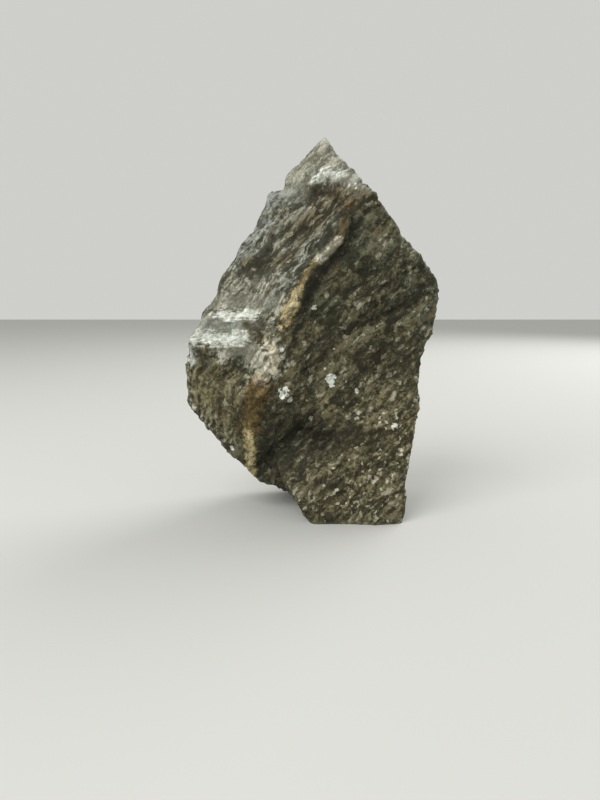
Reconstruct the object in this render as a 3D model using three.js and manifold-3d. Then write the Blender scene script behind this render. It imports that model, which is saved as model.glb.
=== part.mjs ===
// A rough block of soapstone, as broken from the quarry and stood on its one flat side.
// Millimetres, +Z up, the front on the -Y side. The origin is under the middle of the block, on its sole.
// Four overlapping lumps bounded by flat joints make the form. Layers, scallops, ribs and grooves
// roughen it, and the sole is sawn off flat.
import * as THREE from 'three';
import { mergeVertices } from 'three/addons/utils/BufferGeometryUtils.js';
import { ImprovedNoise } from 'three/addons/math/ImprovedNoise.js';
import Module from 'manifold-3d';

// ---- Driving dimensions, mm ----
const apex = [15.5, 42, 264];           // where the joints round the tip meet, before it is worn
const veinTop = [31, 6, 205];           // the front ridge, from top to bottom
const veinMiddle = [-6.5, 0.5, 152];
const veinLow = [-32, -1.4, 87];
const rightCorner = [94.5, 24, 165];    // the corner that sticks out on the right
const leftEnd = [-77, 28, 100];         // the blunt left end
const shelfBack = [-64, 27, 151];       // top and lip of the shelf on the left
const shelfLip = [-68, 7, 120];
const footLeftEdge = [9, -1, 0];        // the sole's front edge, from left to right
const footRightEdge = [71, -1, 0];
const footInner = [-3, 4, 17];          // where the foot meets the overhang
const backDepth = 80;                   // front to back at the sole
const sawnOff = 14;                     // how far the foot reached below the sole before it was sawn

const cell = 6.5;                       // side of one square of the net over the stone
const evenRounds = 30;                  // rounds that even out the net
const jitter = 0.75;                    // how far corners move at random, as a part of the room they have
const facingRounds = 4;                 // rounds that even out the directions the roughness stands in
const heldWeight = 14;                  // how firmly each corner keeps its place when folds are eased
const cornerReach = 40;                 // how far round a sharp corner the net is drawn towards it
const soleSnap = 2.2;                   // corners this close to the sole are laid on it

// The stone splits into layers that face this way
const layerFacing = new THREE.Vector3(0.6, -0.62, -0.5).normalize();
const layerSpacing = 17;
const layerLift = 2.4;
const layerDrop = 0.25;                 // part of each layer taken by its broken edge
const faintestLayer = 0.4;              // the weakest layer's lift, as a part of the strongest one's
const waveSize = 60;                    // slow waves in the layers
const waveLift = 1.2;                   // in layers
const hollowSize = 36;                  // large broken hollows
const hollowLift = 4;
const chipSize = 15;                    // smaller chips
const chipLift = 2.1;
const grainSize = 9;
const grainLift = 0.8;
const swell = 1.6;                      // added everywhere, to make up for what the hollows take
const bowlTilt = 1.5;                   // a hollow's bowl: its tilt, its spread of depths and its mean height
const bowlSpread = 0.3;
const bowlMean = 0.35;
const sideTurn = 0.3;                   // how gradually the front's marks give way to the back's

// Which random draw each feature takes
const layerDraw = 3;
const hollowDraw = 1;
const chipDraw = 21;
const jitterDraw = 5;

// A point inside every lump, from which the whole surface can be seen
const heart = new THREE.Vector3(18, 40, 108);

// ---- Flat joints ----
// Each is a plane that faces away from the heart: through a point and facing some way, or through three points.
function jointFacing(through, facing) {
  const normal = new THREE.Vector3(...facing).normalize();
  return { normal, reach: new THREE.Vector3(...through).sub(heart).dot(normal) };
}

function jointThrough(...corners) {
  const [a, b, c] = corners.map((corner) => new THREE.Vector3(...corner));
  const plane = new THREE.Plane().setFromCoplanarPoints(a, b, c);
  if (plane.distanceToPoint(heart) > 0) plane.negate();
  return { normal: plane.normal, reach: -plane.distanceToPoint(heart) };
}

const mainFace = jointThrough(veinMiddle, veinLow, rightCorner);
const upperLeftFace = jointThrough(veinTop, veinMiddle, [-46, 30, 175]);
const middleLeftFace = jointThrough(veinMiddle, veinLow, shelfBack);
const shelfTop = jointThrough(shelfBack, shelfLip, veinLow);
const lowerLeftFace = jointThrough(shelfLip, veinLow, [-60, 24, 60]);
const hollowFace = jointThrough([-34, 0, 84], [22, 9, 84], [-5, 17, 50]);
const footFront = jointThrough(footLeftEdge, footRightEdge, [60, 17, 84]);
const backFace = jointFacing([40, backDepth, 0], [-0.06, 0.99, 0.09]);
const backLeftFace = jointFacing([-60, 48, 110], [-0.5, 0.86, 0.1]);
const backRightFace = jointFacing([90, 66, 110], [0.62, 0.78, 0.08]);
const backTopFace = jointFacing(apex, [0.06, 0.92, 0.38]);
const leftFace = jointFacing(leftEnd, [-0.98, 0.05, 0.15]);
const upperLeftEdge = jointFacing([-49.5, 38, 167], [-0.854, 0.15, 0.52]);
const shelfEnd = jointFacing([-55.5, 30, 160], [-0.99, 0.05, 0]);
const bulgeEnd = jointFacing([-65, 25, 138], [-0.7, 0.1, 0.7]);
const tipLeftEdge = jointFacing(apex, [-0.8, 0.1, 0.6]);
const tipRightEdge = jointFacing(apex, [0.88, 0.1, 0.47]);
const shoulderLeft = jointFacing([-11.5, 37, 233], [-0.72, 0.1, 0.69]);
const shoulderRight = jointFacing([27, 37, 243.5], [0.56, 0.1, 0.83]);
const upperRightFace = jointFacing([34, 30, 230], [0.74, 0.12, 0.67]);
const rightFace = jointFacing(rightCorner, [0.99, 0.1, -0.03]);
const cornerUnder = jointFacing([89, 20, 122], [0.9, 0.1, -0.42]);
const lowerRightFace = jointFacing(footRightEdge, [0.991, 0.06, -0.125]);
const underside = jointFacing([-5, 6, 14], [-0.45, -0.12, -0.88]);
const lowerLeftEdge = jointFacing([-61, 25, 57], [-0.76, -0.1, -0.64]);
const footLeft = jointFacing(footInner, [-0.88, -0.05, -0.47]);
const belowSole = jointFacing([40, 40, -sawnOff], [0, 0, -1]);

const back = [backFace, backLeftFace, backRightFace, backTopFace];
const edges = [upperLeftEdge, upperRightFace, rightFace];
const below = [hollowFace, lowerLeftFace, lowerLeftEdge, underside, cornerUnder];
const shoulders = [shoulderLeft, shoulderRight];
const tip = [tipLeftEdge, tipRightEdge];

const lumps = [
  // the body
  [mainFace, upperLeftFace, middleLeftFace, shelfEnd, ...shoulders, ...edges, ...below, ...back],
  // the bulge under the shelf
  [mainFace, shelfTop, bulgeEnd, leftFace, rightFace, ...below, ...back],
  // the foot
  [footFront, footLeft, lowerRightFace, upperLeftFace, belowSole, ...shoulders, ...edges, ...back],
  // the tip
  [mainFace, upperLeftFace, middleLeftFace, shelfEnd, ...tip, upperLeftEdge, rightFace, ...below, ...back],
];

// How far the surface is from the heart along a direction
function reachAlong(direction) {
  let farthest = 0;
  for (const lump of lumps) {
    let nearest = Infinity;
    for (const { normal, reach } of lump) {
      const towards = normal.dot(direction);
      if (towards > 0) nearest = Math.min(nearest, reach / towards);
    }
    farthest = Math.max(farthest, nearest);
  }
  return farthest;
}

function ontoSurface(point) {
  const direction = point.clone().sub(heart).normalize();
  return direction.multiplyScalar(reachAlong(direction)).add(heart);
}

// ---- Roughness ----
const perlin = new ImprovedNoise();

function noise(point, size, shift = 0) {
  return perlin.noise(point.x / size + shift, point.y / size, point.z / size - shift);
}

// A steady pseudo-random number from 0 to 1 for a cell of space
const stir = new THREE.Vector4(127.1, 311.7, 74.7, 53.3);
const scatter = 43758.5453;

function chance(i, j, k, draw) {
  const s = Math.sin(stir.dot(new THREE.Vector4(i, j, k, draw))) * scatter;
  return s - Math.floor(s);
}

// Shallow hollows that meet in sharp edges: the lowest of the tilted bowls around a point
function scallop(point, size, firstDraw) {
  const p = point.clone().divideScalar(size);
  const [x, y, z] = [p.x, p.y, p.z].map(Math.floor);
  const away = new THREE.Vector3();
  const tilt = new THREE.Vector3();
  let lowest = Infinity;
  for (let i = x - 1; i <= x + 1; i++)
    for (let j = y - 1; j <= y + 1; j++)
      for (let k = z - 1; k <= z + 1; k++) {
        const draw = (n) => chance(i, j, k, firstDraw + n);
        away.set(p.x - i - draw(0), p.y - j - draw(1), p.z - k - draw(2));
        tilt.set(draw(3), draw(4), draw(5)).subScalar(0.5).multiplyScalar(bowlTilt);
        lowest = Math.min(lowest, away.lengthSq() + away.dot(tilt) + draw(6) * bowlSpread);
      }
  return lowest - bowlMean;
}

// Broken edges of the layers: a slow rise across each layer and a short drop at its edge
function layering(point) {
  const level = point.dot(layerFacing) / layerSpacing + noise(point, waveSize, layerDraw) * waveLift;
  const layer = Math.floor(level);
  const across = level - layer;
  const rise = across < 1 - layerDrop ? across / (1 - layerDrop) : (1 - across) / layerDrop;
  const strength = THREE.MathUtils.lerp(faintestLayer, 1, chance(layer, 1, 2, layerDraw));
  return (rise - 0.5) * strength;
}

// Ribs and grooves, each along a line in the XZ plane, on the front or the back.
// Lift is how far it stands out, negative for a groove, and reach is its half width.
const frontMarks = [
  // the cap at the tip: its swollen lower edge and the groove under it
  { from: [-14, 236], to: [34, 233], reach: 7, lift: 3 },
  { from: [-20, 225], to: [30, 222], reach: 6, lift: -3.2 },
  // creases that climb the upper left face
  { from: [-26, 180], to: [8, 222], reach: 4.5, lift: -3.5 },
  { from: [-8, 186], to: [24, 216], reach: 4, lift: -3 },
  { from: [-30, 166], to: [-2, 196], reach: 4, lift: -2.5 },
  // the hollow right of the vein
  { from: [14, 176], to: [30, 192], reach: 8, lift: -3 },
  // the vein stands out a little
  { from: [31, 205], to: [-6.5, 152], reach: 4, lift: 2 },
  { from: [-6.5, 152], to: [-32, 87], reach: 4, lift: 1.8 },
  // shelf: two treads and the riser between them
  { from: [-70, 151], to: [-38, 152], reach: 4, lift: -2.4 },
  { from: [-66, 142], to: [-40, 143], reach: 4.5, lift: 2.4 },
  { from: [-74, 133], to: [-44, 134], reach: 4, lift: -2.8 },
  { from: [-70, 123], to: [-44, 122], reach: 4.5, lift: 2.2 },
  // dark pocket under the shelf
  { from: [-66, 112], to: [-56, 106], reach: 7, lift: -3 },
  // the crease above the foot
  { from: [-34, 36], to: [-2, 62], reach: 8, lift: -5 },
  { from: [-2, 62], to: [22, 56], reach: 8, lift: -4 },
  // a diagonal break across the right face
  { from: [34, 132], to: [80, 156], reach: 5, lift: -3 },
  { from: [30, 140], to: [76, 165], reach: 6, lift: 2 },
];

const backMarks = [
  // two ledges that climb across the back
  { from: [-60, 60], to: [60, 182], reach: 9, lift: -4.5 },
  { from: [-52, 84], to: [40, 196], reach: 10, lift: 3.5 },
  { from: [-10, 18], to: [90, 104], reach: 8, lift: -4 },
  { from: [-10, 38], to: [80, 122], reach: 9, lift: 3 },
  // a broken hollow low on the left
  { from: [-44, 66], to: [-30, 52], reach: 12, lift: -4 },
];

function markLift(point, marks) {
  let lift = 0;
  for (const mark of marks) {
    const start = new THREE.Vector2(...mark.from);
    const run = new THREE.Vector2(...mark.to).sub(start);
    const away = new THREE.Vector2(point.x, point.z).sub(start);
    const along = THREE.MathUtils.clamp(away.dot(run) / run.lengthSq(), 0, 1);
    away.addScaledVector(run, -along);
    lift += mark.lift * Math.exp(-away.lengthSq() / mark.reach ** 2);
  }
  return lift;
}

function roughness(point, normal) {
  return layering(point) * layerLift
    + scallop(point, hollowSize, hollowDraw) * hollowLift
    + scallop(point, chipSize, chipDraw) * chipLift
    + noise(point, grainSize) * grainLift
    + swell
    + markLift(point, frontMarks) * THREE.MathUtils.smoothstep(-normal.y, -sideTurn, sideTurn)
    + markLift(point, backMarks) * THREE.MathUtils.smoothstep(normal.y, -sideTurn, sideTurn);
}

// ---- Mesh ----
function neighboursOf(index, count) {
  const around = Array.from({ length: count }, () => new Set());
  for (let t = 0; t < index.length; t += 3)
    for (let e = 0; e < 3; e++) {
      around[index[t + e]].add(index[t + (e + 1) % 3]);
      around[index[t + (e + 1) % 3]].add(index[t + e]);
    }
  return around.map((set) => [...set]);
}

// Each square of the net is split along its shorter diagonal
function splitSquares(index, points) {
  for (let s = 0; s < index.length; s += 6) {
    const [a, b, d] = index.slice(s, s + 3);
    const c = index[s + 4];
    if (points[a].distanceTo(points[c]) < points[b].distanceTo(points[d])) index.set([a, b, c, a, c, d], s);
  }
}

// The mean of each corner's neighbours, with the corner itself counted as many times as its weight
function blend(vectors, around, ownWeight) {
  return vectors.map((own, v) => {
    const sum = own.clone().multiplyScalar(ownWeight);
    around[v].forEach((n) => sum.add(vectors[n]));
    return sum.divideScalar(around[v].length + ownWeight);
  });
}

// The net is drawn along the surface so that one of its corners meets each sharp corner of the stone
function meetCorners(points) {
  for (const corner of [apex, rightCorner, shelfLip]) {
    const sharp = ontoSurface(new THREE.Vector3(...corner));
    const closer = (best, p) => (p.distanceTo(sharp) < best.distanceTo(sharp) ? p : best);
    const nearest = points.reduce(closer).clone();
    const shift = sharp.clone().sub(nearest);
    points.forEach((point) => {
      const near = Math.max(0, 1 - point.distanceTo(nearest) / cornerReach);
      if (near > 0) point.copy(ontoSurface(point.clone().addScaledVector(shift, near * near)));
    });
  }
}

function roughStone() {
  const size = new THREE.Vector3(rightCorner[0] - leftEnd[0], backDepth, apex[2]);
  const squares = size.toArray().map((side) => Math.round(side / cell));
  const net = new THREE.BoxGeometry(...size, ...squares);
  net.translate(0, 0, size.z / 2 - heart.z);
  net.deleteAttribute('normal');
  net.deleteAttribute('uv');
  const geometry = mergeVertices(net);
  const index = geometry.index.array;
  const position = geometry.getAttribute('position');
  let points = Array.from({ length: position.count }, (_, v) =>
    ontoSurface(new THREE.Vector3().fromBufferAttribute(position, v).add(heart)));
  const place = () => points.forEach((point, v) => position.setXYZ(v, point.x, point.y, point.z));

  const around = neighboursOf(index, points.length);
  for (let round = 0; round < evenRounds; round++) points = blend(points, around, 0).map(ontoSurface);
  meetCorners(points);

  points = points.map((point, v) => {
    const room = Math.min(...around[v].map((n) => points[n].distanceTo(point)));
    const push = new THREE.Vector3(...[1, 2, 3].map((axis) => chance(v, axis, 0, jitterDraw)));
    return ontoSurface(push.subScalar(0.5).multiplyScalar(jitter * room).add(point));
  });
  meetCorners(points);
  splitSquares(index, points);
  place();

  geometry.computeVertexNormals();
  const normals = geometry.getAttribute('normal');
  let facing = points.map((_, v) => new THREE.Vector3().fromBufferAttribute(normals, v));
  for (let round = 0; round < facingRounds; round++) facing = blend(facing, around, 1);
  points = points.map((point, v) => {
    const outward = facing[v].normalize();
    return outward.clone().multiplyScalar(roughness(point, outward)).add(point);
  });
  points = blend(points, around, heldWeight);
  points.forEach((point) => {
    if (Math.abs(point.z) < soleSnap) point.z = 0;
  });
  place();
  geometry.deleteAttribute('normal');
  return geometry;
}

// ---- Solid ----
const wasm = await Module();
wasm.setup();

function solidOf(geometry) {
  const bare = new THREE.BufferGeometry();
  bare.setAttribute('position', geometry.getAttribute('position'));
  bare.setIndex(geometry.index);
  const merged = mergeVertices(bare);
  return new wasm.Manifold(new wasm.Mesh({
    numProp: 3,
    vertProperties: merged.getAttribute('position').array,
    triVerts: new Uint32Array(merged.index.array),
  }));
}

function geometryOf(solid) {
  const { vertProperties, triVerts } = solid.getMesh();
  const geometry = new THREE.BufferGeometry();
  geometry.setAttribute('position', new THREE.BufferAttribute(new Float32Array(vertProperties), 3));
  geometry.setIndex(new THREE.BufferAttribute(new Uint32Array(triVerts), 1));
  return geometry;
}

function blockGeometry() {
  const wasteSide = apex[2] * 2;
  const waste = new THREE.BoxGeometry(wasteSide, wasteSide, wasteSide).translate(0, 0, -wasteSide / 2);
  const geometry = geometryOf(solidOf(roughStone()).subtract(solidOf(waste)));
  geometry.computeBoundingBox();
  const middle = geometry.boundingBox.getCenter(new THREE.Vector3());
  geometry.translate(-middle.x, -middle.y, 0);
  geometry.computeVertexNormals();
  return geometry;
}

const soapstone = new THREE.MeshStandardMaterial({ color: 0x6f6a55, roughness: 0.85, metalness: 0 });

const block = new THREE.Group();
const stone = new THREE.Mesh(blockGeometry(), soapstone);
stone.name = 'soapstone_block';
block.add(stone);

export default block;
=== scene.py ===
# A rough block of soapstone: fine layers, chips, a rusty vein, a pale shelf and talc flecks over the solid.
import functools
import itertools
import math

import bmesh
import bpy
import numpy as np
from mathutils import Matrix, Vector


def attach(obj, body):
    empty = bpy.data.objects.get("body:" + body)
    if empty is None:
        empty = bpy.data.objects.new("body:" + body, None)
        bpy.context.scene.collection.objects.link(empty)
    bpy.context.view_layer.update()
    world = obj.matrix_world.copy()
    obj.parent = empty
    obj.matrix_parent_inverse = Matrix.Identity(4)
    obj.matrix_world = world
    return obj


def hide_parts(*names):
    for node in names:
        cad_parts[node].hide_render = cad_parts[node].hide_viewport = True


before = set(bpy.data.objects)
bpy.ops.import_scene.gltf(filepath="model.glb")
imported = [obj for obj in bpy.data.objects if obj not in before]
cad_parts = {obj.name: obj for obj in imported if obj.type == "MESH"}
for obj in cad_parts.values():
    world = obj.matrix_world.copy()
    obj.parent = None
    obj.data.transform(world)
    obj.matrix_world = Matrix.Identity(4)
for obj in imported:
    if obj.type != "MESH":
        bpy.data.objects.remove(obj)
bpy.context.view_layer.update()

print("frame loaded")

mm = 0.001      # the stone's sizes below are in millimetres


# Random fields
latticeSide = 32


def latticeDraws(seed, *shape):
    return np.random.default_rng(seed).random((latticeSide,) * 3 + shape)


def clouds(points, size, seed):
    # Smooth swells from -1 to 1
    draws = latticeDraws(seed) * 2 - 1
    spot = points / size
    cell = np.floor(spot).astype(int)
    part = spot - cell
    part = part * part * (3 - 2 * part)
    total = np.zeros(len(points))
    for corner in itertools.product((0, 1), repeat=3):
        share = np.where(corner, part, 1 - part).prod(axis=1)
        total += draws[tuple(((cell + corner) % latticeSide).T)] * share
    return total


def lumpsRound(points, size, seed):
    # For each of the 27 lumps nearest to every point: the way from its middle, and its seven random draws
    draws = latticeDraws(seed, 7)
    spot = points / np.array(size)
    cell = np.floor(spot).astype(int)
    for step in itertools.product((-1, 0, 1), repeat=3):
        near = cell + step
        draw = draws[tuple((near % latticeSide).T)]
        yield spot - near - draw[:, :3], draw


def bowls(points, size, seed, tilt=1.5, spread=0.3):
    # Shallow hollows that meet in sharp edges: the lowest of the tilted bowls round each point
    lowest = np.full(len(points), np.inf)
    for away, draw in lumpsRound(points, size, seed):
        lean = ((draw[:, 3:6] - 0.5) * away).sum(axis=1) * tilt
        lowest = np.minimum(lowest, (away ** 2).sum(axis=1) + lean + draw[:, 6] * spread)
    return lowest - lowest.mean()


def blocks(points, size, seed, tilt=1.2):
    # Broken lumps, each with a flat tilted top at a height of its own, from about -0.7 to 0.7
    nearest = np.full(len(points), np.inf)
    height = np.zeros(len(points))
    for away, draw in lumpsRound(points, size, seed):
        distance = (away ** 2).sum(axis=1)
        top = draw[:, 6] - 0.5 + ((draw[:, 3:6] - 0.5) * away).sum(axis=1) * tilt
        height = np.where(distance < nearest, top, height)
        nearest = np.minimum(distance, nearest)
    return height


def smoothStep(values, low, high):
    part = np.clip((values - low) / (high - low), 0, 1)
    return part * part * (3 - 2 * part)


# The stone's layers
layers = {
    "facing": (0.6, -0.62, -0.5),       # their normal
    "streak": (0.71, 0.13, 0.69),       # the way in which they are drawn out
    "bends": ((24, 4.0, 31), (8, 1.4, 41)),     # size and push in mm, and seed
}


def layerAxes():
    through = Vector(layers["facing"]).normalized()
    across = through.cross(Vector(layers["streak"])).normalized()
    along = across.cross(through)
    return np.array([along, across, through])


axes = layerAxes()


def inLayers(points):
    return points @ axes.T


def terraces(level, drop, seed, weakest=0.35, draws=512):
    # Steps: a slow rise over each layer and a short drop at its broken edge, some weaker than others
    layer = np.floor(level)
    across = level - layer
    rise = np.where(across < 1 - drop, across / (1 - drop), (1 - across) / drop)
    strengths = weakest + (1 - weakest) * np.random.default_rng(seed).random(draws)
    return (rise - 0.5) * strengths[layer.astype(int) % draws]


def bent(points):
    # The layers are not quite flat
    for size, push, seed in layers["bends"]:
        points = points + np.stack([clouds(points, size, seed + axis) for axis in range(3)], axis=1) * push
    return points


# Places on the stone, mm, listed from top to bottom or left to right
places = {
    "vein": [(24, -33, 210), (19, -34, 193), (4, -35, 179), (-4, -37, 170), (-16, -42, 144),
             (-27, -41, 119), (-29, -41, 102), (-38, -34, 68), (-44, -14, 31)],
    "rustTop": [(25, -32, 212), (19, -33, 194)],
    "creamTop": [(18, -34, 190), (12, -35, 184), (5, -35, 178)],
    "ochreLine": [(5, -35, 179), (-2, -37, 170), (-8, -39, 158)],
    "ochre": [(-8, -39, 157), (-12, -41, 149), (-17, -41, 138)],
    "creamPatch": [(-27, -40, 123), (-23, -41, 113), (-32, -41, 102)],
    "rustLow": [(-32, -41, 99), (-38, -40, 83), (-43, -31, 64)],
    "creamLow": [(-43, -30, 62), (-42, -21, 44), (-42, -14, 28)],
    "treadHigh": [(-66, -18, 143), (-54, -24, 142), (-37, -29, 143)],
    "treadLow": [(-79, -26, 127), (-64, -28, 126), (-46, -29, 127)],
    "slope": [(-58, -31, 121), (-46, -31, 122), (-38, -35, 117), (-30, -40, 106)],
    "riser": [(-72, -23, 134), (-58, -22, 134), (-40, -30, 135)],
    "lip": [(-79, -27, 119), (-64, -29, 120), (-50, -31, 118), (-36, -38, 104)],
    "pocket": [(-76, -30, 116), (-70, -28, 108)],
    "notch": [(-36, -4, 226), (-24, -5, 226), (-12, -8, 226)],
    "shoulder": [(-25, -7, 221), (-26, 4, 221)],
    "capEdge": [(0, -12, 226), (10, -18, 226), (30, -25, 229)],
    "cap": [(-10, -7, 234), (2, -8, 242), (10, -4, 252)],
    "capChips": [(4, -14, 233), (12, -18, 234), (21, -22, 232)],
    "capRight": [(17, -20, 232), (25, -25, 227), (32, -27, 223)],
    "capSide": [(12, -7, 249), (20, -16, 241), (27, -22, 235)],
    "capShade": [(3, -15, 221), (10, -18, 222), (17, -22, 219)],
    "blueBand": [(-30, -6, 214), (-19, -6, 220), (-7, -9, 221)],
    "underVein": [(24, -32, 196), (16, -34, 181), (7, -34, 172), (-1, -37, 158), (-8, -39, 142)],
    "break": [(30, -29, 134), (40, -27, 139), (49, -24, 143), (60, -21, 149)],
    "hollow": [(-39, -17, 36), (-25, -26, 53), (-7, -25, 67), (8, -27, 60)],
    "crack": [(-7, -27, 55), (5, -27, 61), (24, -30, 63), (37, -30, 62), (49, -30, 64)],
    "veinBack": [(30, 28, 196), (10, 27, 160), (-6, 25, 120), (-20, 31, 84), (-34, 31, 44)],
    "creamBack": [(16, 28, 172), (4, 26, 144)],
    "stepBackHigh": [(24, 24, 150), (44, 26, 172), (60, 24, 186)],
    "stepBackMid": [(-60, 17, 96), (-38, 31, 116), (-16, 28, 138), (6, 28, 158)],
    "stepBackLow": [(4, 34, 44), (26, 35, 66), (50, 35, 90), (66, 35, 104)],
    "ochreBack": [(-4, 25, 124), (-18, 31, 88)],
    "talcBack": [(36, 27, 176), (52, 30, 166), (66, 27, 160)],
    "talcLowBack": [(-56, 17, 102), (-44, 26, 99), (-34, 27, 94)],
    "paleBack": [(58, 32, 150), (46, 32, 128), (36, 32, 112)],
    "greyBack": [(-20, 22, 190), (-44, 22, 150), (-52, 18, 118)],
    "darkBack": [(20, 30, 120), (34, 36, 84)],
    "talcLeft": [(-80, -12, 128), (-78, -2, 128), (-68, 8, 130)],
    "paleLeft": [(-84, -8, 118), (-86, -4, 92), (-70, -8, 60)],
    "talcRight": [(76, -6, 120), (75, 8, 112), (75, 22, 108)],
    "rustRight": [(72, -10, 78), (70, 6, 62)],
    "greyRight": [(56, 0, 200), (74, 4, 182), (82, 6, 150)],
    "shelf": [(-74, -24, 133), (-60, -24, 134), (-44, -30, 134)],
    "aboveShelf": [(-66, -9, 149), (-48, -23, 149), (-23, -36, 150)],
    "leftColumn": [(-79, -28, 130), (-80, -28, 122), (-82, -25, 112)],
    "leftEdge": [(-26, -7, 216), (-33, -8, 205), (-38, -8, 196), (-48, -10, 176)],
    "lightLower": [(-56, -17, 155), (-41, -21, 162), (-17, -35, 165)],
    "besideVein": [(-27, -34, 149), (-17, -35, 162), (-5, -34, 176), (4, -30, 187)],
    "upperLeft": [(-4, -14, 215), (-26, -20, 180), (-46, -24, 158)],
    "brownUp": [(-8, -20, 197), (5, -22, 207), (18, -25, 214)],
    "brownCap": [(2, -17, 221), (18, -23, 221), (38, -28, 216)],
    "darkBand": [(-43, -16, 176), (-29, -20, 177), (-14, -28, 179)],
    "oliveSlope": [(-43, -28, 136), (-36, -33, 132), (-31, -38, 128)],
    "lowerRight": [(30, -26, 96), (44, -30, 50), (34, -38, 10)],
    "tanPatch": [(11, -29, 79), (15, -27, 73), (20, -28, 66)],
    "lowerLeft": [(-74, -26, 104), (-66, -28, 92), (-52, -29, 70)],
    "flecks": [(56, -30, 66), (54, -33, 32), (20, -37, 14)],
}


def nearestOn(points, path):
    # How far each point is from a path, and from which of its points
    nearest = np.full(len(points), np.inf)
    foot = np.zeros_like(points)
    for start, end in itertools.pairwise(np.array(path, float)):
        run = end - start
        along = np.clip((points - start) @ run / (run @ run), 0, 1)
        spot = start + along[:, None] * run
        away = np.linalg.norm(points - spot, axis=1)
        closer = away < nearest
        nearest[closer] = away[closer]
        foot[closer] = spot[closer]
    return nearest, foot


def closeTo(points, path, reach):
    # 1 on the path, fading to 0 at its reach
    return np.clip(1 - nearestOn(points, places[path])[0] / reach, 0, 1)


# The fine mesh: sizes in mm, and how many times it is evened out for each use
fineMesh = {
    "weld": 0.01,
    "square": 1.2,
    "easeBy": 0.5,          # how far each easing round takes a point towards its neighbours
    "easeRounds": 10,
    "normalRounds": 6,
    "nearRounds": 5,
    "wideRounds": 40,
    "soleFacing": -0.4,     # how far down the sole's faces look
}


def makeStone(node):
    bm = bmesh.new()
    bm.from_mesh(node.data)
    bmesh.ops.remove_doubles(bm, verts=bm.verts, dist=fineMesh["weld"] * mm)
    mesh = bpy.data.meshes.new("roughStone")
    bm.to_mesh(mesh)
    bm.free()
    stone = bpy.data.objects.new("roughStone", mesh)
    bpy.context.scene.collection.objects.link(stone)

    remesh = stone.modifiers.new("evenSquares", "REMESH")
    remesh.mode = "VOXEL"
    remesh.voxel_size = fineMesh["square"] * mm
    fine = bpy.data.meshes.new_from_object(stone.evaluated_get(bpy.context.evaluated_depsgraph_get()))
    stone.modifiers.clear()
    stone.data = fine

    bm = bmesh.new()
    bm.from_mesh(fine)
    for _ in range(fineMesh["easeRounds"]):
        bmesh.ops.smooth_vert(bm, verts=bm.verts, factor=fineMesh["easeBy"],
                              use_axis_x=True, use_axis_y=True, use_axis_z=True)
    bm.to_mesh(fine)
    bm.free()
    return stone


def vertexValues(mesh, name):
    values = np.zeros(len(mesh.vertices) * 3)
    mesh.vertices.foreach_get(name, values)
    return values.reshape(-1, 3)


def evenedOut(values, ends, rounds):
    # Each vertex takes the mean of its neighbours' values, again and again
    count = len(values)
    around = np.bincount(ends.ravel(), minlength=count)
    first, second = ends.T
    for _ in range(rounds):
        total = [np.bincount(first, column[second], count) + np.bincount(second, column[first], count)
                 for column in values.T]
        values = np.stack(total, axis=1) / around[:, None]
    return values


# Roughness, in mm
roughness = {
    "lumps": [      # shape, size along, across and through the layers, lift and seed
        (bowls, (19, 13, 9), 1.6, 11),
        (blocks, (10, 7, 5), 1.2, 12),
        (bowls, (5.6, 4.4, 3.4), 0.9, 13),
        (blocks, (3.6, 3.2, 2.8), 0.45, 14),
    ],
    "spacing": 6.5,             # between the layers that break in steps
    "stepLift": 0.8,
    "drop": 0.25,               # the part of each layer taken by its broken edge
    "stepSeed": 23,
    "wander": ((14, 0.9, 21), (5, 0.3, 22)),    # swells: size, most in layers and seed
    "mostlyRough": 0.85,        # of the full roughness
    "moreOrLess": (22, 0.6, 20),                # the swell that adds to it or takes away
    "grain": (2.6, 0.25, 24),                   # the finest swell
    "shelfSpacing": 5.2,        # between the shelf's level steps
    "shelfLift": 1.0,
    "shelfReach": 26,
    "shelfFade": (0.1, 0.5),    # how close it starts and is full, from 0 at its reach to 1 on its path
    "shelfSeed": 26,
    "shelfWander": (12, 0.3, 25),
    "shelfCalm": 0.6,           # how much smoother the shelf is
    "veinReach": 6,
    "veinLift": 0.9,
    "ledges": [     # a path, the way to its raised side, its height, its fade and its edge's width
        ("notch", (0, 0, -1), 1.5, 7, 0.8),
        ("capEdge", (0.1, 0, 1), 1.0, 7, 1.2),
        ("treadHigh", (0, 0, -1), 0.9, 6, 1.2),
        ("treadLow", (0, 0, -1), 1.0, 6, 1.2),
        ("lip", (0.3, 0, 1), 0.9, 6, 2.0),
        ("underVein", (-0.8, 0, 0.5), 1.3, 7, 1.5),
        ("break", (-0.6, 0, 0.8), 1.5, 5, 1.0),
        ("hollow", (-0.3, 0, 0.9), 1.6, 8, 1.5),
        ("crack", (0, 0, 1), 0.4, 5, 1.0),
        ("veinBack", (0.9, 0, -0.4), 1.0, 7, 1.5),
        ("stepBackHigh", (0.7, 0, -0.7), 1.2, 7, 1.3),
        ("stepBackMid", (0.7, 0, -0.7), 1.3, 8, 1.4),
        ("stepBackLow", (-0.7, 0, 0.7), 1.5, 7, 1.3),
    ],
    "outward": 0.2,             # added everywhere
    "outMost": 2.8,             # what stands out is eased in to this
    "shoulderReach": 9,
    "shoulderLift": 4.6,        # the shoulder under the cap stands out by this as well
}


def swell(points, size, most, seed):
    return clouds(points, size, seed) * most


def brokenLayers(points, bentPoints):
    # Lumps, chips and broken edges that follow the layers, rougher in some places than in others
    layered = inLayers(bentPoints)
    lift = sum(shape(layered, size, seed) * most for shape, size, most, seed in roughness["lumps"])
    level = layered[:, 2] / roughness["spacing"] + sum(swell(points, *part) for part in roughness["wander"])
    lift += terraces(level, roughness["drop"], roughness["stepSeed"]) * roughness["stepLift"]
    lift *= roughness["mostlyRough"] + swell(points, *roughness["moreOrLess"])
    return lift + swell(points, *roughness["grain"])


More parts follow.
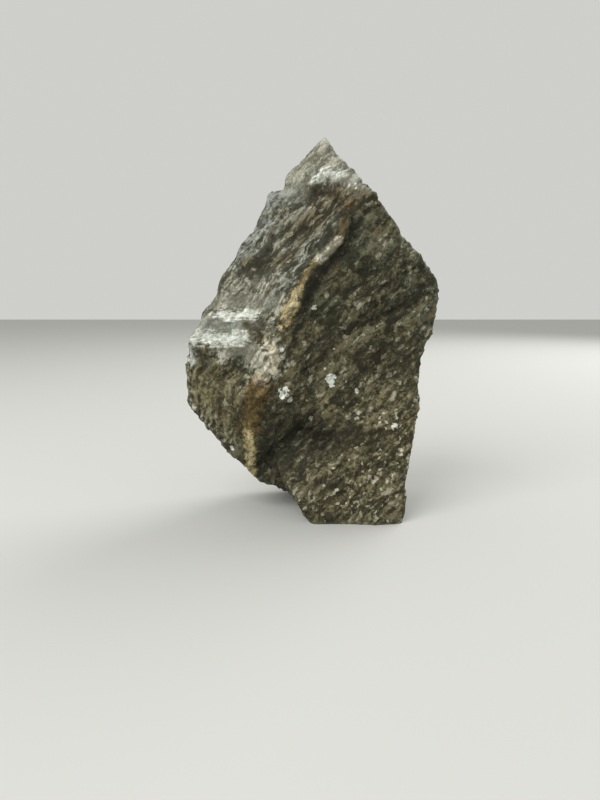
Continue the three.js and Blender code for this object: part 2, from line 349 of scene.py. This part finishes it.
def shelfSteps(points, bentPoints):
    # The shelf breaks in level steps instead
    level = -bentPoints[:, 2] / roughness["shelfSpacing"] + swell(points, *roughness["shelfWander"])
    return terraces(level, roughness["drop"], roughness["shelfSeed"]) * roughness["shelfLift"]


def liftOf(points):
    # How far each point is moved out of the smooth stone
    bentPoints = bent(points)
    lift = brokenLayers(points, bentPoints)
    onShelf = smoothStep(closeTo(points, "shelf", roughness["shelfReach"]), *roughness["shelfFade"])
    lift = lift * (1 - onShelf * roughness["shelfCalm"]) + onShelf * shelfSteps(points, bentPoints)
    lift += smoothStep(closeTo(points, "vein", roughness["veinReach"]), 0, 1) * roughness["veinLift"]
    for path, raised, height, reach, edge in roughness["ledges"]:
        nearest, foot = nearestOn(points, places[path])
        side = (points - foot) @ np.array(Vector(raised).normalized())
        lift += height * np.exp(-(nearest / reach) ** 2) * np.tanh(side / edge)
    lift += roughness["outward"]
    lift = np.where(lift > 0, np.tanh(lift / roughness["outMost"]) * roughness["outMost"], lift)
    onShoulder = smoothStep(closeTo(points, "shoulder", roughness["shoulderReach"]), 0, 1)
    return lift + onShoulder * roughness["shoulderLift"]


def roughen(mesh):
    points = vertexValues(mesh, "co") / mm
    ends = np.zeros(len(mesh.edges) * 2, int)
    mesh.edges.foreach_get("vertices", ends)
    ends = ends.reshape(-1, 2)
    facing = evenedOut(vertexValues(mesh, "normal"), ends, fineMesh["normalRounds"])
    facing /= np.linalg.norm(facing, axis=1)[:, None]

    onSole = (points[:, 2] < fineMesh["square"]) & (facing[:, 2] < fineMesh["soleFacing"])
    lift = np.where(onSole, 0, liftOf(points))
    moved = points + facing * lift[:, None]
    moved[:, 2] = np.where(onSole, 0, np.maximum(moved[:, 2], 0))
    mesh.vertices.foreach_set("co", (moved * mm).ravel())
    mesh.update()

    def standingOut(rounds):
        # How far each point stands out of its surroundings
        return ((moved - evenedOut(moved, ends, rounds)) * facing).sum(axis=1)

    fields = {
        "near": standingOut(fineMesh["nearRounds"]),
        "wide": standingOut(fineMesh["wideRounds"]),
        "sole": onSole.astype(float),
    }
    return points, fields


# Stains, painted shade and other fields that follow places
stainsAndShade = {
    "marks": {      # for each, the paths it follows, with its reach in mm and its strength
        "rust": [("rustTop", 6, 0.75), ("rustLow", 11, 1.3), ("ochreLine", 5, 0.7),
                 ("ochre", 7, 0.8), ("creamPatch", 10, 0.35), ("veinBack", 9, 0.8),
                 ("ochreBack", 12, 0.9), ("rustRight", 10, 0.7)],
        "ochre": [("ochreLine", 3.5, 1.05), ("ochre", 6.5, 1), ("creamLow", 5.4, 1.45),
                  ("rustLow", 4, 0.2), ("ochreBack", 6, 0.8), ("veinBack", 4, 0.6)],
        "cream": [("creamTop", 4.8, 1.55), ("creamPatch", 11, 0.62), ("creamLow", 4, 0.5),
                  ("ochre", 3.5, 0.6), ("creamBack", 7, 0.5)],
        "talc": [("creamTop", 3.5, 0.6), ("treadHigh", 6, 0.9), ("treadLow", 8.5, 1.25),
                 ("riser", 9, 0.1), ("capChips", 9, 0.7), ("capRight", 6, 0.4),
                 ("leftColumn", 8, 0.55), ("talcBack", 7, 0.7), ("talcLowBack", 6, 0.6),
                 ("talcLeft", 7, 0.9), ("talcRight", 6, 0.6)],
        "pale": [("cap", 26, 1.25), ("capSide", 14, 1.3), ("capChips", 12, 1.2),
                 ("capRight", 13, 1.2), ("aboveShelf", 14, 1.2), ("slope", 15, 1.3),
                 ("lightLower", 14, 0.7), ("riser", 15, 1.3), ("creamPatch", 14, 0.7),
                 ("paleBack", 20, 0.6), ("paleLeft", 14, 0.8), ("talcBack", 14, 0.8),
                 ("talcLowBack", 12, 0.8)],
        "blue": [("leftEdge", 13, 0.85), ("blueBand", 12, 1), ("riser", 8, 1), ("capRight", 8, 0.8),
                 ("leftColumn", 9, 0.9), ("besideVein", 9, 0.5)],
        "grey": [("upperLeft", 52, 1.2), ("cap", 30, 1), ("greyBack", 42, 0.75),
                 ("greyRight", 26, 1)],
        "tan": [("lowerLeft", 34, 1.1), ("flecks", 44, 0.75), ("tanPatch", 12, 1)],
        "umber": [("brownUp", 17, 1.1), ("brownCap", 14, 1.1), ("darkBand", 10, 1),
                  ("oliveSlope", 7, 1), ("darkBack", 22, 0.9)],
        "striped": [("brownUp", 32, 1.6), ("break", 26, 1.2), ("darkBand", 20, 1),
                    ("blueBand", 14, 0.8), ("leftEdge", 12, 0.9), ("underVein", 40, 0.5),
                    ("greyBack", 40, 0.4), ("greyRight", 30, 0.4)],
        # painted shade under the cap and the vein, in the pocket and the hollow above the foot, and along
        # the cracks and the back's steps
        "shade": [("capShade", 6, 0.8), ("pocket", 11, 1), ("underVein", 14, 0.9),
                  ("hollow", 22, 1.25), ("crack", 4, 0.75), ("break", 4, 1.6),
                  ("stepBackLow", 5, 1), ("stepBackMid", 4, 0.7)],
        "warm": [("lowerRight", 75, 1)],
        "level": [("shelf", 30, 1.5), ("blueBand", 12, 1)],
        "fleck": [("flecks", 34, 1), ("lowerRight", 60, 0.2)],
    },
    "bigFlecks": [      # place and half width in mm
        ((13, -30, 99), 2.6), ((14, -30, 96), 1.8), ((16, -30, 101), 1.4), ((-18, -36, 92), 2.5),
        ((-14, -35, 86), 1.9), ((-19, -36, 88), 1.7), ((-20, -36, 93), 1.5), ((2, -36, 147), 1.5),
        ((32, -26, 91), 1.5), ((58, -28, 67), 1.6), ((60, -28, 72), 1.4), ((-55, -17, 49), 1.6),
        ((0, -28, 72), 1.5), ((26, -28, 141), 1.3), ((-40, -33, 30), 1.5), ((-26, -42, 115), 1.2),
        ((-29, -41, 108), 1.1), ((-19, -40, 120), 1.3), ((48, -28, 145), 1.4),
    ],
}


def stainAndShadeFields(points):
    # The strongest of each field's marks, the stains' and the painted shade's among them, and of the big
    # flecks, which are at 0.5 at their half width
    fields = {name: np.maximum.reduce([closeTo(points, path, reach) * most for path, reach, most in marks])
              for name, marks in stainsAndShade["marks"].items()}
    fields["bigFleck"] = np.maximum.reduce([
        np.clip(1 - np.linalg.norm(points - np.array(place), axis=1) / (2 * half), 0, 1)
        for place, half in stainsAndShade["bigFlecks"]])
    return fields


def keepFields(mesh, fields):
    for name, values in fields.items():
        mesh.attributes.new(name, "FLOAT", "POINT").data.foreach_set("value", values.astype(np.float32))


# Soapstone
finish = {
    "colours": {    # on the screen, 0 to 255
        "olive": (72, 72, 52),
        "brown": (77, 72, 51),
        "slate": (73, 72, 56),
        "grey": (103, 102, 88),
        "pale": (150, 149, 133),
        "blue": (127, 130, 122),
        "tan": (95, 89, 63),
        "umber": (74, 67, 45),
        "rust": (88, 72, 38),
        "ochre": (166, 151, 106),
        "cream": (203, 195, 170),
        "talc": (208, 212, 201),
        "dash": (118, 116, 98),
        "fleck": (192, 188, 168),
        "sawn": (112, 112, 98),
    },
    "noises": {     # size along, across and through the layers in mm, detail, roughness and swirl
        "broad": ((46, 34, 20), 3, 0.6, "flowing"),
        "bands": ((26, 12, 4), 2, 0.6, "flowing"),
        "patches": ((13, 10, 6), 3, 0.6, "flowing"),
        "stripes": ((32, 12, 6), 2, 0.6, "torn"),
        "streaks": ((5.6, 4, 2.6), 3, 0.6, "torn"),
        "grain": ((1.5, 1.4, 1.2), 3, 0.7, "still"),
    },
    "levelStreaks": ((11, 11, 1.6), 4, 0.6),    # on the shelf the streaks lie level instead
    "crystals": {   # their size in the same way, and a shift that sets each kind apart
        "slabs": ((10, 7, 5), 3),
        "lumps": ((4.2, 3.6, 2.7), 0),
        "crystals": ((2.2, 2.0, 1.7), 7),
    },
    "wideSwirl": (70.0, 7),     # how often in a metre the patterns wander, and how far in mm
    "fineSwirl": (600.0, 1.4),
    "saw": {"Scale": 260.0, "Distortion": 1.5, "Detail": 2.0},
    "evenTones": {  # how many stops each pattern lightens or darkens by, and between which of its values
        "broad": (0.5, 0.35, 0.65),
        "patches": (0.5, 0.35, 0.65),
        "bands": (0.8, 0.35, 0.65),
        "streaks": (0.5, 0.35, 0.65),
        "slabs": (0.35, 0, 1),
        "lumps": (0.5, 0, 1),
        "crystals": (0.5, 0, 1),
        "grain": (0.65, 0.35, 0.65),
        # painted shade with dust in small hollows, and lighter worn raised bits
        "near": (0.6, -1, 1),
    },
    "stripedTones": {
        "stripes": (1.1, 0.42, 0.58),
        "slabs": (0.55, 0, 1),
    },
    "ragged": {     # how far each pattern tears a stain's edge, and between which of its values
        "streaks": (0.3, 0.3, 0.7),
        "lumps": (0.15, 0, 1),
        "crystals": (0.1, 0, 1),
    },
    "blocky": {
        "crystals": (0.17, 0, 1),
        "lumps": (0.15, 0, 1),
    },
    "stainsAndShade": {     # where each starts and is full, its cover, and how far and how its edge is torn
        "grey": (0.1, 0.9, 0.9, 0.6, "ragged"),
        "tan": (0.2, 0.8, 0.9, 1, "ragged"),
        "pale": (0.25, 0.75, 0.9, 1, "ragged"),
        "blue": (0.25, 0.75, 0.9, 1.3, "ragged"),
        "umber": (0.25, 0.75, 0.9, 1, "ragged"),
        "rust": (0.15, 0.8, 0.9, 0.9, "ragged"),
        "ochre": (0.2, 0.8, 0.9, 0.9, "ragged"),
        "cream": (0.15, 0.9, 0.9, 0.45, "ragged"),
        "talc": (0.2, 0.75, 0.95, 0.9, "ragged"),
        "bigFleck": (0.42, 0.5, 0.95, 1, "blocky"),
        # the painted shade in the creases and hollows
        "shade": (0.2, 1, 1, 1, "ragged"),
    },
    "fullTear": 0.3,        # a tear grows from nothing at a stain's reach to full at this strength
    "underDashes": ("grey", "tan", "pale", "blue", "umber"),    # the order in which stains are laid
    "overDashes": ("rust", "ochre", "cream"),
    "ramps": {      # between which values each runs, and what those become
        "slate": (0.42, 0.6, 0, 0.9),
        "brown": (0.46, 0.6, 0, 0.9),
        "dashLumps": (0.5, 1, 0, 0.5),
        "dashStreaks": (0.4, 0.65, 0, 0.5),
        "dash": (0.5, 0.85, 0, 0.8),
        "dust": (0, 0.5, 0.5, 1),           # talc lies thinner on the dark crystals
        "crowding": (0.45, 0.6, 0.3, 1),    # there are fewer flecks between the patches
        "smallFleck": (0, 1, 1, 0.825),     # a crystal whose random value is above this is a fleck
        "largeFleck": (0, 1, 1, 0.94),
        "fleckFade": (0, 1, 0.2, 1),        # they are faint on some slabs
        "stops": (-2, 2, -1.7, 1.1),        # the sum of the tones is eased in
        "blueCalm": (0.1, 0.8, 1, 0.75),    # what is left of them on light stone
        "paleCalm": (0.1, 0.8, 1, 0.68),
        "talcCalm": (0.1, 0.7, 1, 0.5),
        "veinShade": (0.1, 0.7, 1, 0.3),    # what is left of the painted shade on the vein
        "paleRelief": (0.1, 0.8, 1, 0.7),   # what is left of the relief on pale stone
        "roughness": (0, 1, 0.95, 0.65),    # from the dark crystals to the light ones
    },
    "warmth": 0.2,          # added to the brown's pattern where the stone is warm
    "fleckCover": 0.8,
    "sawnCover": 0.75,
    "specular": 0.3,
    "wideShadeAndWear": 0.1,       # stops for each mm that a place stands out: painted shade with dust in wide hollows, lighter worn rises
    "shadeStops": -1.3,     # stops of the painted shade where it is full
    "veinCalm": 0.35,       # how far the vein counts as talc
    "tint": (0.97, 0.98, 1.07),     # the dark is warmer, like bounced light painted into the shade, and the light is greyer
    "relief": {     # mm
        "lumps": 1.3,
        "crystals": 0.6,
        "grain": 0.25,
        "saw": 0.1,
        "soleCalm": 0.2,    # what is left of the others on the sole
    },
}


def screenColour(screen):
    # The same colour on the linear scale that the shader takes
    def linear(value):
        part = value / 255
        return part / 12.92 if part <= 0.04045 else ((part + 0.055) / 1.055) ** 2.4
    return tuple(linear(value) for value in screen) + (1,)


class Shading:
    # Adds nodes to a material, with their inputs given as values or as other nodes' outputs
    def __init__(self, name):
        self.material = bpy.data.materials.new(name)
        self.material.use_nodes = True
        self.tree = self.material.node_tree

    def add(self, kind, inputs=None, **settings):
        made = self.tree.nodes.new("ShaderNode" + kind)
        for setting, value in settings.items():
            setattr(made, setting, value)
        for socket, value in (inputs or {}).items():
            if isinstance(value, bpy.types.NodeSocket):
                self.tree.links.new(value, made.inputs[socket])
            else:
                made.inputs[socket].default_value = value
        return made

    def math(self, operation, *values):
        return self.add("Math", dict(enumerate(values)), operation=operation).outputs[0]

    def vector(self, operation, *values):
        return self.add("VectorMath", dict(enumerate(values)), operation=operation).outputs[0]

    def ramp(self, value, low, high, toLow, toHigh):
        inputs = {"Value": value, "From Min": low, "From Max": high, "To Min": toLow, "To Max": toHigh}
        return self.add("MapRange", inputs, interpolation_type="SMOOTHSTEP").outputs["Result"]

    def ramped(self, value, name):
        return self.ramp(value, *finish["ramps"][name])

    def swings(self, patterns, parts):
        # The sum of some patterns, each made to swing as far below 0 as above it
        swung = [self.ramp(patterns[name], low, high, -most, most)
                 for name, (most, low, high) in parts.items()]
        return functools.reduce(functools.partial(self.math, "ADD"), swung)

    def mix(self, factor, first, second, blend="MIX"):
        inputs = {0: factor, 6: first, 7: second}
        return self.add("Mix", inputs, data_type="RGBA", blend_type=blend).outputs[2]

    def between(self, factor, first, second):
        inputs = {0: factor, 2: first, 3: second}
        return self.add("Mix", inputs, data_type="FLOAT", clamp_factor=True).outputs[0]

    def field(self, name):
        return self.add("Attribute", attribute_name=name).outputs["Fac"]

    def noise(self, spot, detail, rough):
        inputs = {"Vector": spot, "Scale": 1.0, "Detail": detail, "Roughness": rough}
        return self.add("TexNoise", inputs).outputs["Fac"]

    def scaled(self, spot, sizes, turn=(0, 0, 0)):
        # Places measured with the given sizes in mm as 1
        inputs = {"Vector": spot, "Rotation": turn, "Scale": tuple(size * mm for size in sizes)}
        return self.add("Mapping", inputs, vector_type="TEXTURE").outputs[0]

    def layered(self, spot, sizes):
        # The same, along, across and through the stone's layers
        turn = Matrix(axes.tolist()).transposed().to_euler()
        return self.scaled(spot, sizes, tuple(turn))


def addCrystals(shading, patterns, name, spot):
    # Cells with flat faces: a random value for each cell, and the height of its tilted face
    sizes, shift = finish["crystals"][name]
    at = shading.vector("ADD", shading.layered(spot, sizes), (shift,) * 3)
    cell = shading.add("TexVoronoi", {"Vector": at, "Scale": 1.0}).outputs
    away = shading.vector("SUBTRACT", at, cell["Position"])
    tilt = shading.vector("SUBTRACT", cell["Color"], (0.5, 0.5, 0.5))
    height = shading.add("VectorMath", {0: away, 1: tilt}, operation="DOT_PRODUCT")
    patterns[name] = shading.add("SeparateColor", {"Color": cell["Color"]}).outputs[1]
    patterns[name + "Height"] = height.outputs["Value"]


def swirled(shading, spot, start, perMetre, push):
    # Places pushed about, so that a pattern on them wanders
    drift = shading.add("TexNoise", {"Vector": spot, "Scale": perMetre, "Detail": 1.0}).outputs["Color"]
    return shading.vector("MULTIPLY_ADD", drift, (push * mm,) * 3, start)


def stonePatterns(shading):
    # All of the stone's patterns and fields, by name
    spot = shading.add("TexCoord").outputs["Object"]
    flowing = swirled(shading, spot, spot, *finish["wideSwirl"])
    torn = swirled(shading, spot, flowing, *finish["fineSwirl"])
    spots = {"still": spot, "flowing": flowing, "torn": torn}

    fieldNames = [*stainsAndShade["marks"], "bigFleck", "near", "wide", "sole"]
    patterns = {name: shading.field(name) for name in fieldNames}
    for name, (sizes, detail, rough, swirl) in finish["noises"].items():
        patterns[name] = shading.noise(shading.layered(spots[swirl], sizes), detail, rough)
    sizes, detail, rough = finish["levelStreaks"]
    lying = shading.noise(shading.scaled(flowing, sizes), detail, rough)
    patterns["streaks"] = shading.between(patterns["level"], patterns["streaks"], lying)
    for name in finish["crystals"]:
        addCrystals(shading, patterns, name, torn)
    for name in ("ragged", "blocky"):
        patterns[name] = shading.swings(patterns, finish[name])
    saw = shading.add("TexWave", {"Vector": spot, **finish["saw"]}, bands_direction="X")
    patterns["saw"] = saw.outputs["Fac"]
    return patterns


def stainOrShade(shading, patterns, name):
    # Where a stain, a big fleck or the painted shade lies: its field with a torn edge
    low, high, cover, tearBy, tear = finish["stainsAndShade"][name]
    allowed = shading.ramp(patterns[name], 0, finish["fullTear"], 0, tearBy)
    uneven = shading.math("MULTIPLY", patterns[tear], allowed)
    return shading.ramp(shading.math("ADD", patterns[name], uneven), low, high, 0, cover)


def talcFlecks(shading, patterns):
    # A few of the crystals, crowding towards the foot
    crowd = shading.math("MULTIPLY", patterns["fleck"], shading.ramped(patterns["patches"], "crowding"))
    small = shading.math("GREATER_THAN", patterns["crystals"], shading.ramped(crowd, "smallFleck"))
    large = shading.math("GREATER_THAN", patterns["lumps"], shading.ramped(crowd, "largeFleck"))
    fade = shading.ramped(patterns["slabs"], "fleckFade")
    return shading.math("MULTIPLY", shading.math("MAXIMUM", small, large), fade)


def stoneHues(shading, patterns):
    # What the stone is coloured with, before light and dark, and how far each place is a fleck of talc
    def laidOver(hue, cover, name):
        return shading.mix(cover, hue, screenColour(finish["colours"][name]))

    hue = screenColour(finish["colours"]["olive"])
    hue = laidOver(hue, shading.ramped(patterns["broad"], "slate"), "slate")
    brownish = shading.math("MULTIPLY_ADD", patterns["warm"], finish["warmth"], patterns["patches"])
    hue = laidOver(hue, shading.ramped(brownish, "brown"), "brown")
    for name in finish["underDashes"]:
        hue = laidOver(hue, stainOrShade(shading, patterns, name), name)

    # Light grey crystals where talc shows between the layers
    dash = shading.math("ADD", shading.ramped(patterns["lumps"], "dashLumps"),
                        shading.ramped(patterns["streaks"], "dashStreaks"))
    hue = laidOver(hue, shading.ramped(dash, "dash"), "dash")
    for name in finish["overDashes"]:
        hue = laidOver(hue, stainOrShade(shading, patterns, name), name)
    dust = shading.ramped(patterns["crystals"], "dust")
    hue = laidOver(hue, shading.math("MULTIPLY", stainOrShade(shading, patterns, "talc"), dust), "talc")

    fleck = talcFlecks(shading, patterns)
    hue = laidOver(hue, shading.math("MULTIPLY", fleck, finish["fleckCover"]), "fleck")
    bigFleck = stainOrShade(shading, patterns, "bigFleck")
    hue = laidOver(hue, bigFleck, "talc")
    return hue, shading.math("MAXIMUM", fleck, bigFleck)


def stoneTint(shading, patterns, fleck):
    # Light and dark, in stops, as a colour to multiply with: the stone's own tones, with painted shade in
    # its hollows and creases and lighter raised bits
    def calmed(stops, field, name):
        return shading.math("MULTIPLY", stops, shading.ramped(field, name))

    stops = shading.swings(patterns, finish["evenTones"])
    stops = shading.math("MULTIPLY_ADD", patterns["wide"], finish["wideShadeAndWear"], stops)
    striped = shading.swings(patterns, finish["stripedTones"])
    stops = shading.math("MULTIPLY_ADD", patterns["striped"], striped, stops)
    stops = shading.ramped(stops, "stops")
    stops = calmed(stops, patterns["blue"], "blueCalm")
    stops = calmed(stops, patterns["pale"], "paleCalm")
    veined = shading.math("MAXIMUM", patterns["ochre"], patterns["cream"])
    veined = shading.math("MAXIMUM", patterns["rust"], veined)
    plain = shading.math("MAXIMUM", patterns["talc"], fleck)
    plain = shading.math("MAXIMUM", plain, shading.math("MULTIPLY", veined, finish["veinCalm"]))
    stops = calmed(stops, plain, "talcCalm")
    # Painted shade in the creases and hollows, less on the vein
    shade = calmed(stainOrShade(shading, patterns, "shade"), veined, "veinShade")
    stops = shading.math("MULTIPLY_ADD", shade, finish["shadeStops"], stops)
    tint = [shading.math("POWER", 2.0, shading.math("MULTIPLY", stops, share)) for share in finish["tint"]]
    return shading.add("CombineColor", dict(enumerate(tint))).outputs[0]


def stoneHeight(shading, patterns):
    # The crystals' faces, the grain and the sole's saw lines, in mm
    relief = finish["relief"]
    height = shading.math("MULTIPLY", patterns["lumpsHeight"], relief["lumps"])
    height = shading.math("MULTIPLY_ADD", patterns["crystalsHeight"], relief["crystals"], height)
    height = shading.math("MULTIPLY_ADD", patterns["grain"], relief["grain"], height)
    height = shading.math("MULTIPLY", height, shading.ramped(patterns["pale"], "paleRelief"))
    height = shading.math("MULTIPLY", height, shading.between(patterns["sole"], 1.0, relief["soleCalm"]))
    lines = shading.math("MULTIPLY", patterns["saw"], patterns["sole"])
    return shading.math("MULTIPLY_ADD", lines, relief["saw"], height)


def soapstone():
    shading = Shading("soapstone")
    patterns = stonePatterns(shading)
    hue, fleck = stoneHues(shading, patterns)
    colour = shading.mix(1.0, hue, stoneTint(shading, patterns, fleck), "MULTIPLY")
    sawn = shading.math("MULTIPLY", patterns["sole"], finish["sawnCover"])
    colour = shading.mix(sawn, colour, screenColour(finish["colours"]["sawn"]))
    height = stoneHeight(shading, patterns)
    bump = shading.add("Bump", {"Height": height, "Strength": 1.0, "Distance": mm})

    shader = shading.tree.nodes["Principled BSDF"]
    shader.inputs["Specular IOR Level"].default_value = finish["specular"]
    shading.tree.links.new(colour, shader.inputs["Base Color"])
    shading.tree.links.new(shading.ramped(patterns["crystals"], "roughness"), shader.inputs["Roughness"])
    shading.tree.links.new(bump.outputs[0], shader.inputs["Normal"])
    return shading.material


stone = makeStone(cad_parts["soapstone_block"])
print("fine mesh:", len(stone.data.polygons), "faces")
points, fields = roughen(stone.data)
print("surface roughened")
fields.update(stainAndShadeFields(points))
keepFields(stone.data, fields)
print("stains laid out")
stone.data.shade_smooth()
stone.data.materials.clear()
stone.data.materials.append(soapstone())
print("soapstone made")
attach(stone, "root")
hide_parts("soapstone_block")
print("stone finished")


# Floor, backdrop and light
studio = {
    "floorSide": 8,
    "floorColour": (196, 196, 192),
    "floorRoughness": 0.9,
    "skyColour": (1, 1, 0.96, 1),
    "skyStrength": 0.62,
    "lightTarget": (0, 0, 0.12),
    "lights": {     # place and side in metres, power in watts
        "key": ((-0.85, -1.0, 1.2), 1.2, 21.5),
        "fill": ((1.2, 1.0, 1.2), 1.4, 22),
    },
}


def makeFloor():
    bm = bmesh.new()
    bmesh.ops.create_grid(bm, x_segments=1, y_segments=1, size=studio["floorSide"] / 2)
    mesh = bpy.data.meshes.new("floor")
    bm.to_mesh(mesh)
    bm.free()
    floor = bpy.data.objects.new("floor", mesh)
    bpy.context.scene.collection.objects.link(floor)
    paper = Shading("floorPaper")
    shader = paper.tree.nodes["Principled BSDF"]
    shader.inputs["Base Color"].default_value = screenColour(studio["floorColour"])
    shader.inputs["Roughness"].default_value = studio["floorRoughness"]
    mesh.materials.append(paper.material)


def makeLights():
    for name, (place, side, power) in studio["lights"].items():
        panel = bpy.data.lights.new(name, "AREA")
        panel.size = side
        panel.energy = power
        lamp = bpy.data.objects.new(name, panel)
        lamp.location = place
        towards = Vector(studio["lightTarget"]) - lamp.location
        lamp.rotation_euler = towards.to_track_quat("-Z", "Y").to_euler()
        bpy.context.scene.collection.objects.link(lamp)


def makeSky():
    world = bpy.data.worlds.new("sky")
    world.use_nodes = True
    sky = world.node_tree.nodes["Background"]
    sky.inputs["Color"].default_value = studio["skyColour"]
    sky.inputs["Strength"].default_value = studio["skyStrength"]
    bpy.context.scene.world = world


view = {
    "place": (-0.0071, -0.4327, 0.1531),
    "tiltDown": 9.6,                    # degrees
    "lens": 27.05,                      # mm, on a 36 mm frame's long side
}


def makeCamera():
    camera = bpy.data.objects.new("camera", bpy.data.cameras.new("camera"))
    camera.data.lens = view["lens"]
    camera.location = view["place"]
    camera.rotation_euler = (math.radians(90 - view["tiltDown"]), 0, 0)
    bpy.context.scene.collection.objects.link(camera)
    bpy.context.scene.camera = camera


makeFloor()
makeLights()
makeSky()
makeCamera()
bpy.context.scene.view_settings.view_transform = "Standard"
print("studio ready")
